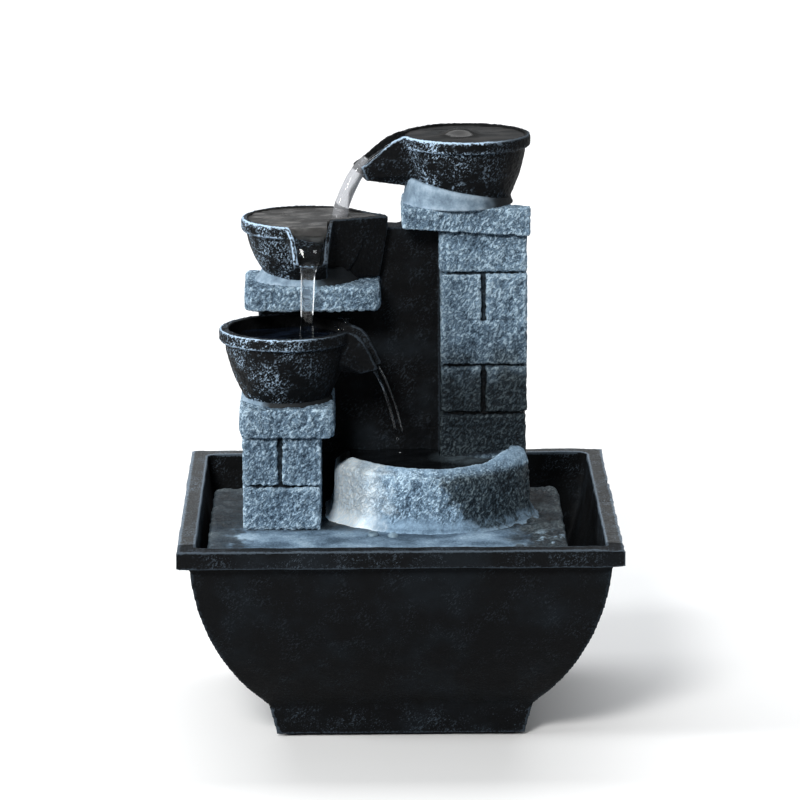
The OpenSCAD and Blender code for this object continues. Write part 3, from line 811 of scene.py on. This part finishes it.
def slab(name, low, high, seed, corner=2.5):
    """A cast slab with slightly uneven sides and eased corners."""
    rng = np.random.default_rng(seed)
    (x0, y0, z0), (x1, y1, z1) = low, high
    mid_x, mid_y = (x0 + x1) / 2, (y0 + y1) / 2
    plan = []
    for cx, cy, start in ((x1, y1, 0), (x0, y1, 90), (x0, y0, 180), (x1, y0, 270)):
        for k in range(5):
            turn = math.radians(start + 22.5 * k)
            plan.append((cx - math.copysign(corner, cx - mid_x) + corner * math.cos(turn),
                    cy - math.copysign(corner, cy - mid_y) + corner * math.sin(turn)))
    rings = []
    for z, shrink in ((z0, 0.7), (z0 + 0.9, 0.1), ((z0 + z1) / 2, 0.0), (z1 - 0.9, 0.1), (z1, 0.7)):
        in_x, in_y = shrink + np.abs(rng.uniform(-0.6, 0, 2)) * 0.5
        rings.append(mm_ring([(x - math.copysign(in_x, x - mid_x), y - math.copysign(in_y, y - mid_y), z)
                for x, y in plan]))
    return loft(name, rings)


def mm_box(node):
    low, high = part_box(node)
    return tuple(v / MM for v in low), tuple(v / MM for v in high)


def trough_path():
    """The outer line of the trough's wall on the deck, from its left end round to its right end."""
    (cx, cy), radius, left, right = (TROUGH[key] for key in ("centre", "radius", "left", "right"))
    half = math.degrees(math.acos((cx - left) / radius))
    turns = [math.radians(180 + half + (180 - 2 * half) * k / 40) for k in range(41)]
    return ([(left, y) for y in (21.0, 14.0, 7.0, 0.0)]
            + [(cx + radius * math.cos(turn), cy + radius * math.sin(turn)) for turn in turns]
            + [(right, y) for y in (-2.0, 2.5, TROUGH_BACK[1])])


def trough_section(along):
    """The wall's section as (inward, height), where along is 0 at its left end and 1 at its right."""
    rise = 4.8 * smooth_step(0.72, 0.95, along) - 1.6 * smooth_step(0.965, 1.0, along)
    rise += 0.5 * math.sin(along * 9.0) - 3.5 * smooth_step(0.13, 0.04, along)
    soft = smooth_step(0.55, 0.85, along)
    level = smooth_step(0.84, 0.95, along)
    wall = TROUGH["wall"] * (1.0 + 0.12 * soft)
    foot, crest = TROUGH["foot"], TROUGH["crest"] + rise
    return [(-4.6, foot - 1), (-4.4, foot + 0.4), (-2.2, foot + 1.6), (-0.7, foot + 4.5), (0.0, foot + 8.0),
            (0.4, crest - 2.0 - 2.5 * soft), (0.9 + 0.6 * soft, crest - 0.3 - 0.8 * soft),
            (wall * 0.5, crest + 1.5 - 0.9 * level), (wall - 0.8, crest + 2.9 - 2.4 * level),
            (wall + 0.1, crest + 2.2 - 2.6 * level), (wall + 0.6, crest - 3.0 - 1.5 * level),
            (wall + 0.9, foot + 6), (wall + 2.6, foot + 1), (wall + 3, foot - 1)]


def make_trough():
    """The half-round trough: a battered wall with a flared foot and a lip that slopes inward."""
    path = trough_path()
    last = len(path) - 1
    rings = []
    for k, (x, y) in enumerate(path):
        before, after = path[max(k - 1, 0)], path[min(k + 1, last)]
        run = Vector((after[0] - before[0], after[1] - before[1])).normalized()
        rings.append([mm(x - run.y * d, y + run.x * d, z) for d, z in trough_section(k / last)])
    wall = loft("trough_look", rings)
    floor = trough_solid("trough_floor", 3.0, TROUGH["foot"] - 0.5, TROUGH["foot"] + 3.5)
    bed_low, bed_right = 84, ((31, -26, 97), (44, -16, 100), (50, -6, 101.6), (50, 2, 103.2), (50, 9, 106))
    bed = loft("bed", [mm_ring([(2, y, bed_low), (8, y, z - 9), (19, y, z - 1.5), (28, y, z), (x, y, z + 2),
            (x, y, bed_low)]) for x, y, z in bed_right])
    return join("trough_look", [wall, floor, bed])


def trough_solid(name, grow, low, high):
    """A prism over the space inside the trough, grown outward, between two heights."""
    cx, cy = TROUGH["centre"]
    radius = TROUGH["radius"] - TROUGH["wall"] + grow
    left, right = TROUGH["left"] + TROUGH["wall"] - grow, TROUGH["right"] - TROUGH["wall"] + grow
    step_x, (back_left, back_right) = 17.0, TROUGH_BACK
    plan = [(step_x, back_left), (left, back_left)]
    for k in range(61):
        turn = math.radians(180 + 3 * k)
        x, y = cx + radius * math.cos(turn), cy + radius * math.sin(turn)
        if x < cx or y < 7.0:
            plan.append((min(max(x, left), right), y))
    return prism(name, plan + [(right, back_right), (step_x, back_right)], low, high)


def trough_brush(points, normals):
    """The inside of the trough is dark below the water and at its rear, and paler on its bed."""
    x, y, z = points.T
    cx, cy = TROUGH["centre"]
    inner = TROUGH["radius"] - TROUGH["wall"]
    side = np.maximum(smooth_step(inner - 1.0, inner + 0.5, np.hypot(x - cx, y - cy)), smooth_step(14, 20, y))
    bed = 0.75 * smooth_step(34, 48, x) * smooth_step(-14, 0, y)
    rear = smooth_step(3, 6, y) * smooth_step(47, 41, x) * smooth_step(-26.5, -24, x)
    return (1 - smooth_step(103.6, 102.2, z) * (1 - side) * (1 - bed)) * (1 - 0.92 * rear)


def trough_relief(points, normals):
    """Rough on the outside of the wall, smooth toward the foot, the lip and the left end."""
    x, _, z = points.T
    rough = 0.30 + 0.70 * (smooth_step(85.5, 90, z) * smooth_step(107.5, 103.5, z))
    left_smooth = smooth_step(-24.5, -20, x) * 0.7 + 0.3
    return stone_relief(57, 0.48, 2.8)(points, normals) * rough * left_smooth


def deck_relief(points, normals):
    """A worn deck: soft flow lumps, rougher with pebbles at the right end."""
    x = points[:, 0]
    soft = layered_noise(points, 10, 401, 3) * 0.35
    grain = layered_noise(points, 1.6, 409, 2) * 0.12
    right = smooth_step(40, 52, x) + 0.6 * smooth_step(-64, -70, x)
    lumps = np.clip(layered_noise(points, 7.0, 421, 3) * 2.0, -0.6, 1.3) * 0.9
    return soft + grain + right * lumps * np.clip(normals[:, 2], 0, 1)


def make_collar(node, profile, tilt, squash):
    """Mortar between a cup and what it stands on."""
    low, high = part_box(node)
    centre = ((low.x + high.x) / 2, (low.y + high.y) / 2)
    return remesh(revolve(node + "_look", mm_ring(profile), centre, squash=squash, tilt=tilt * MM), 0.6)


def collar_shade(dark_from, dark_to):
    """Mortar is darkened at its right as painted shade, and shows least under the lower cup."""
    def brush(points, normals):
        patchy = layered_noise(points, 6.0, 503, 2) * 3.0
        return smooth_step(dark_to, dark_from, points[:, 0] + patchy)
    return brush


# ---------------------------------------------------------------- water
def ripple_height(kind, x, y):
    """Height of a pool's surface in millimetres, x and y from its centre."""
    if kind == "upwelling":
        bump = np.hypot((x + 2.4) / 7.4, (y + 1.0) / 6.8)
        return 2.7 * np.exp(-bump ** 2) + 0.20 * np.sin(bump * 4.0) * np.exp(-bump * 0.5) - 0.1
    if kind == "flow":
        places = np.stack([np.ravel(x) * 0.45, np.ravel(y), np.zeros(np.size(x))], 1)
        return 0.60 * layered_noise(places, 6.0, 771, 2).reshape(np.shape(x)) + 0.10
    if kind == "rings":
        far = np.hypot(x - 8.0, y + 4.4)
        return 0.45 * np.sin(far * 1.3) * np.exp(-far / 14)
    return 0.18 * np.sin(x * 0.42 + y * 0.15) + 0.14 * np.sin(y * 0.60 - x * 0.22)


def fill(name, hollow, level, centre, kind, reach=34.0, step=0.8):
    """Water: a block with a rippled top, cut to the hollow that it fills."""
    count = int(2 * reach / step)
    wide = count + 1
    line = np.linspace(-reach, reach, wide)
    grid_x, grid_y = np.meshgrid(line, line)
    top = level + ripple_height(kind, grid_x, grid_y)
    cells = zip(grid_x.ravel(), grid_y.ravel(), top.ravel())
    verts = [mm(centre[0] + x, centre[1] + y, z) for x, y, z in cells]
    grid = np.arange(wide * wide).reshape(wide, wide)
    faces = [(v, v + 1, v + wide + 1, v + wide) for v in grid[:-1, :-1].ravel().tolist()]
    sides = (grid[0, :-1], grid[:-1, -1], grid[-1, :0:-1], grid[:0:-1, 0])
    rim = [v for side in sides for v in side.tolist()]
    low, total = len(verts), len(rim)
    verts += [(verts[v][0], verts[v][1], (level - 60) * MM) for v in rim]
    faces += [(rim[k], low + k, low + (k + 1) % total, rim[(k + 1) % total]) for k in range(total)]
    faces.append(tuple(range(low, low + total)))
    obj = boolean(face_outward(mesh_object(name, verts, faces)), hollow, "INTERSECT")
    crease = shade_smooth(obj).modifiers.new("crease", "EDGE_SPLIT")
    crease.split_angle = math.radians(40)
    return settle(obj)


def stream(name, headings, stations, seed, segments=20, smooth=6):
    """One fall of water, smoothed along its stations."""
    stations = np.column_stack([np.array(stations, float), np.broadcast_to(headings, len(stations))])
    fine = np.linspace(0, len(stations) - 1, (len(stations) - 1) * smooth + 1)
    path = np.stack([np.interp(fine, range(len(stations)), stations[:, k]) for k in range(6)], 1)
    for _ in range(3):
        path[1:-1] = (path[:-2] + 2 * path[1:-1] + path[2:]) / 4
    rings = []
    for k, (x, y, z, wide, thick, turn) in enumerate(path):
        side = Vector((math.cos(math.radians(turn)), math.sin(math.radians(turn)), 0))
        run = Vector(path[min(k + 1, len(path) - 1)][:3] - path[max(k - 1, 0)][:3]).normalized()
        out = side.cross(run).normalized()
        pulse = 1 + 0.03 * math.sin(k * 3.0 / smooth + seed)
        ring = []
        for i in range(segments):
            angle = 2 * math.pi * i / segments
            ridge = 1 + 0.06 * math.cos(3 * angle + seed)
            ring.append(Vector((x, y, z)) + side * (wide * pulse * math.cos(angle))
                    + out * (thick * ridge * math.sin(angle)))
        rings.append(mm_ring(ring))
    return shade_smooth(loft(name, rings))


def drops(name, places):
    """Small beads of water: places of (x, y, z, radius, height over width)."""
    turns = [math.pi * k / 12 - math.pi / 2 for k in range(1, 12)]
    parts = []
    for x, y, z, radius, tall in places:
        profile = mm_ring([(radius * math.cos(turn), z + radius * tall * math.sin(turn)) for turn in turns])
        parts.append(revolve("drop", profile, mm(x, y), segments=18))
    return shade_smooth(join(name, parts))


# ---------------------------------------------------------------- wet and dark places
def column_wet(paint):
    """The right column is soaked low down, up to an uneven line."""
    return paint.step(paint.waver(paint.axis(2), 12, 6), 163, 134)


def trough_wet_and_shade(paint):
    """The trough is darkened right of a line that leans outward toward its foot,
    partly as soaked plaster and partly as painted shade.
    """
    lean = paint.waver(paint.line(paint.axis(2), 0.45, paint.axis(0)), 5, 5, 5, 0.7)
    foot = paint.plus(paint.axis(2), paint.step(paint.noise(4, 4, 0.7), 0.35, 0.65, -3.0, 3.0))
    front = paint.times(paint.step(lean, 60.5, 69.0), paint.step(foot, 82.0, 85.5, 0.45, 1.0))
    return paint.times(front, paint.step(paint.axis(2), 103.0, 106.0, 1.0, 0.22))


def trough_painted_light(paint):
    """The left end of the trough is painted nearly white as painted light, standing in for lamp light that
    the left column keeps off it.
    """
    return paint.step(paint.waver(paint.axis(0), 7, 5), 0, -21)


def trough_rough(paint):
    """Plaster is coarse on the wall of the trough, and smooth at its foot and lip."""
    height = paint.waver(paint.axis(2), 5, 1.5)
    return paint.times(paint.step(height, 84.5, 89.0, 0.22, 1.0), paint.step(height, 107.5, 104.0, 0.35, 1.0))


def deck_rough(paint):
    """The deck is nearly smooth, least so at its right end."""
    return paint.step(paint.axis(0), 40, 60, 0.30, 0.75)


def deck_wet_with_highlights(paint):
    """The deck is dark at its right end and along its left and rear edges, but for the crests
    of its pebbles at the right front, which are left light as a painted highlight."""
    x, y = paint.waver(paint.axis(0), 8, 5, 4), paint.waver(paint.axis(1), 8, 5, 4)
    # painted highlight: the crests of the pebbles are spared most of the dark
    crests = paint.step(paint.waver(paint.attribute("relief"), 3, 0.3), 0.30, 0.62, 1.0, 0.35)
    behind = paint.line(paint.step(paint.axis(1), -30, -50), -1.0, 1.0)
    right = paint.times(paint.step(x, 40, 54), paint.most(crests, behind))
    edges = paint.most(paint.step(y, -34, -20), paint.times(paint.step(x, -62, -69), 0.88))
    return paint.most(right, edges)


# ---------------------------------------------------------------- building the fountain
def basin_relief(points, normals):
    """Cast lumps all over; the rim's right side is wavy, drawn in and dented."""
    x, _, z = points.T
    rim, right = smooth_step(78, 81, z), smooth_step(78, 86, x)
    wave = layered_noise(points, 22, 31, 2) * 0.35 * rim
    wave -= 0.45 * rim * right * (1 + layered_noise(points, 7, 35, 2))
    dents = sum(np.exp(-(np.linalg.norm(points - place, axis=1) / reach) ** 2) for place, reach in RIM_DENTS)
    return cast_relief(21, 0.10, 0.22)(points, normals) + wave - 0.55 - 1.3 * dents


def basin_brush(points, normals):
    """The top of the rim is worn most, then its band and the foot."""
    _, y, z = points.T
    top = smooth_step(85, 87.4, z) * smooth_step(0.6, 0.85, normals[:, 2]) * np.where(y < -76, 0.45, 1.0)
    band = smooth_step(79.4, 80.4, z) * 0.46
    foot = smooth_step(14, 12, z) * 0.40
    return np.maximum(np.maximum(top, band), np.maximum(foot, 0.14))


def left_cap():
    """The left capstone, with a small peak at its right rear corner."""
    low, (x, y, z) = mm_box("left_capstone")
    cap = slab("left_capstone_look", low, (x, y, z), 91)
    peak = slab("peak", (x - 6.5, y - 9, z - 3), (x - 1, y - 2, z + 2.6), 92, 1.5)
    return join("left_capstone_look", [cap, peak])


def right_cap():
    """The right capstone, whose right end leans back."""
    y0, y1, z = 8, 50, 209.7
    lean = loft("lean", [mm_ring([(x, y0, z), (x, y1, z + 4), (x, y1, low)])
            for x, low in ((43.0, 209.0), (47.5, 202.6), (60.0, 201.0))])
    return carve(copy_of("right_capstone", "right_capstone_look"), lean)


def build_stones(paints):
    """The basin and the insert's stones: node, shape, voxel and softening, relief, brushwork, paint."""
    pieces = [
        ("basin", copy_of("basin", "basin_look"), 1.0, 1, basin_relief, basin_brush, "basin"),
        ("deck", copy_of("deck", "deck_look"), 0.9, 2, deck_relief, None, "deck"),
        ("trough_wall", make_trough(), 0.58, 2, trough_relief, trough_brush, "trough"),
        ("back_wall", copy_of("back_wall", "back_wall_look"), 0.8, 2,
         cast_relief(61, 0.22, 0.5), None, "wall"),
        ("left_column", brick_column("left_column"), 0.56, 1, stone_relief(73), None, "stone"),
        ("right_column", brick_column("right_column"), 0.60, 1, stone_relief(83, 0.36), None, "right_stone"),
        ("left_capstone", left_cap(), 0.55, 2, stone_relief(93, 0.45), None, "stone"),
        ("shelf_slab", slab("shelf_slab_look", *mm_box("shelf_slab"), 95, 4.5), 0.55, 2,
         stone_relief(97, 0.5, 2.1), None, "stone"),
        ("right_capstone", right_cap(), 0.58, 2, stone_relief(99, 0.40), None, "stone")]
    for node, shape, voxel, soften, relief, brush, paint in pieces:
        rounds, scale = (5, 0.3) if node == "basin" else (10, 0.35)
        look = roughen(remesh(shape, voxel, soften), relief, rounds, scale, brush)
        slot = "black_resin" if paint in ("basin", "wall") else "stone_resin"
        take_place(look, paints[paint], "basin" if node == "basin" else "insert", slot, node)


def build_cups(paints):
    for node, seed in (("lower_cup", 111), ("middle_cup", 121), ("top_cup", 131)):
        cup = roughen(make_cup(node), cast_relief(seed, 0.22, 0.26), 4, 0.15, cup_brush_and_shade(node))
        take_place(cup, paints[node], "insert", "black_resin", node)
        profile, tilt, squash, dark = COLLARS[node]
        collar = make_collar(node + "_collar", profile, tilt, squash)
        roughen(collar, cast_relief(seed + 5, 0.08, 0.30), brush=collar_shade(*dark))
        take_place(collar, paints["mortar"], "insert", "mortar_resin", node + "_collar")


def build_water(paints):
    for node, kind in (("lower_cup", "rings"), ("middle_cup", "flow"), ("top_cup", "upwelling")):
        water = fill("water_" + node, hollow_solid(node, 0.3), WATER_LEVEL[node], CUPS[node]["centre"], kind)
        take_place(water, paints[node + "_water"], "insert", "water")
    hollow = trough_solid("hollow", 0.2, 84.0, 112.0)
    water = fill("water_trough", hollow, WATER_LEVEL["trough"], (13.5, 0.0), "calm", 42.0)
    take_place(water, paints["trough_water"], "insert", "water")
    for k, (name, headings, stations, more) in enumerate(STREAMS):
        fall = stream(name, headings, stations, k + 1, **more)
        take_place(fall, paints["water" if k else "sheet"], "insert", "water")
    take_place(drops("water_drops", DROPS), paints["water"], "insert", "water")
    take_place(drops("water_bubbles", BUBBLES), paints["bead"], "insert", "water")


# How each piece that keeps its CAD mesh looks: maker, colour, roughness and nodes.
HIDDEN_LOOKS = {
    "foam": (plastic_material, (0.018, 0.018, 0.020), 0.85, ["base_pad"]),
    "vinyl": (plastic_material, (0.030, 0.034, 0.038), 0.30, ["riser_tube"]),
    "pump": (plastic_material, (0.014, 0.014, 0.016), 0.40, ["pump_housing", "pump_volute", "pump_strainer"]),
    "potting": (plastic_material, (0.010, 0.010, 0.011), 0.18, ["pump_potting"]),
    "steel": (metal_material, (0.38, 0.38, 0.39), 0.35, ["pump_stator_core"]),
    "copper": (metal_material, (0.62, 0.28, 0.14), 0.30, ["pump_coil"]),
    "magnet": (plastic_material, (0.030, 0.030, 0.033), 0.55, ["pump_impeller"]),
    "shaft": (metal_material, (0.62, 0.62, 0.64), 0.12, ["pump_shaft"]),
    "rubber": (plastic_material, (0.016, 0.016, 0.017), 0.62,
        ["pump_shaft_bushes", "pump_suction_cups", "pump_cord_gland"]),
    "slider": (plastic_material, (0.52, 0.10, 0.02), 0.38, ["pump_flow_slider"]),
}


def dress_hidden_parts():
    """Materials and eased edges for the CAD nodes that keep their own meshes."""
    for look, (make, colour, rough, nodes) in HIDDEN_LOOKS.items():
        material = make(look + "_paint", colour, rough)
        for node in nodes:
            obj = NODES[node]
            obj.data.materials.clear()
            obj.data.materials.append(material)
            ease = obj.modifiers.new("ease", "BEVEL")
            ease.width = 0.25 * MM
            ease.segments = 2
            ease.limit_method = "ANGLE"
            ease.angle_limit = math.radians(40)


def make_paints():
    return {
        "basin": black_material("basin_paint", brush=0.30, speckle=0.42, base=0.0050, line=0.25, cloud=0.22,
            rim=True),
        "wall": black_material("wall_paint", brush=0.04, speckle=0.04, base=0.0040, line=0.05, cloud=0.30),
        "lower_cup": black_material("lower_cup_paint"),
        "middle_cup": black_material("middle_cup_paint"),
        "top_cup": black_material("top_cup_paint"),
        "stone": stone_material("stone_paint"),
        "right_stone": stone_material("right_stone_paint", column_wet, soak=0.085),
        "trough": stone_material("trough_paint", trough_wet_and_shade, 1.25, trough_rough, pale=trough_painted_light, soak=0.15),
        "deck": stone_material("deck_paint", deck_wet_with_highlights, 0.92, deck_rough, 0.22, soak=0.085),
        "mortar": mortar_material("mortar_paint"),
        "water": water_material("water_paint"),
        "sheet": water_material("sheet_paint", (0.64, 0.65, 0.68), 0.05, clear=0.72),
        "lower_cup_water": pool_material("lower_pool_paint", (0.003, 0.004, 0.006), (0.010, 0.016, 0.030)),
        "middle_cup_water": pool_material("middle_pool_paint", (0.050, 0.049, 0.048), (0.150, 0.146, 0.143)),
        "top_cup_water": pool_material("top_pool_paint", (0.014, 0.014, 0.014), (0.046, 0.043, 0.041),
            shine=0.14),
        "bead": pool_material("bead_paint", (0.060, 0.095, 0.125), (0.260, 0.370, 0.460)),
        "trough_water": pool_material("trough_pool_paint", (0.003, 0.004, 0.005), (0.009, 0.011, 0.013),
            trough_glow),
    }


# ---------------------------------------------------------------- studio
def add_camera():
    """The photo's own view, fitted to the corners of the basin."""
    yaw, pitch, roll = math.radians(0.471), math.radians(12.576), math.radians(-0.2665)
    ahead = Vector((math.sin(yaw) * math.cos(pitch), math.cos(yaw) * math.cos(pitch), -math.sin(pitch)))
    right = Vector((math.cos(yaw), -math.sin(yaw), 0))
    up = right.cross(ahead)
    right, up = (right * math.cos(roll) + up * math.sin(roll), up * math.cos(roll) - right * math.sin(roll))
    data = bpy.data.cameras.new("camera")
    data.lens = 201.94
    data.sensor_width = 36
    data.clip_end = 50
    camera = add_object("camera", data)
    turn = Matrix((right, up, -ahead)).transposed().to_4x4()
    camera.matrix_world = Matrix.Translation(Vector((-0.01432, -1.81907, 0.53578))) @ turn
    SCENE.camera = camera


def add_light(name, place, target, size, power, colour):
    data = bpy.data.lights.new(name, "AREA")
    data.shape = "RECTANGLE"
    data.size, data.size_y = size
    data.energy = power
    data.color = colour
    light = add_object(name, data)
    light.location = place
    light.rotation_euler = (Vector(target) - Vector(place)).to_track_quat("-Z", "Y").to_euler()


def add_studio():
    """A pale floor, a soft key light from the left front, a side light and a broad light above."""
    floor = mesh_object("floor", [(-12, -6, 0), (12, -6, 0), (12, 14, 0), (-12, 14, 0)], [(0, 1, 2, 3)])
    floor.data.materials.append(Paint("floor_paint").finish((0.92, 0.92, 0.92, 1), 0.9, None, 0.1))
    floor.visible_diffuse = False
    world = bpy.data.worlds.new("world")
    world.use_nodes = True
    sky = world.node_tree.nodes["Background"].inputs
    sky["Color"].default_value = (0.9, 0.95, 1.0, 1)
    sky["Strength"].default_value = 0.16
    SCENE.world = world
    add_light("key", (-0.56, -1.82, 1.36), (0, 0, 0.13), (0.5, 0.5), 36, (1.0, 0.99, 0.97))
    add_light("side", (-1.75, -0.50, 0.85), (0, 0, 0.14), (0.35, 0.5), 24, (0.97, 0.99, 1.0))
    add_light("top", (0.0, 1.7, 2.3), (0, 1.5, 0), (4.0, 2.4), 95, (0.98, 0.99, 1.0))
    SCENE.view_settings.view_transform = "Standard"
    SCENE.view_settings.look = "None"


def main():
    paints = make_paints()
    build_stones(paints)
    build_cups(paints)
    build_water(paints)
    dress_hidden_parts()
    add_camera()
    add_studio()


main()
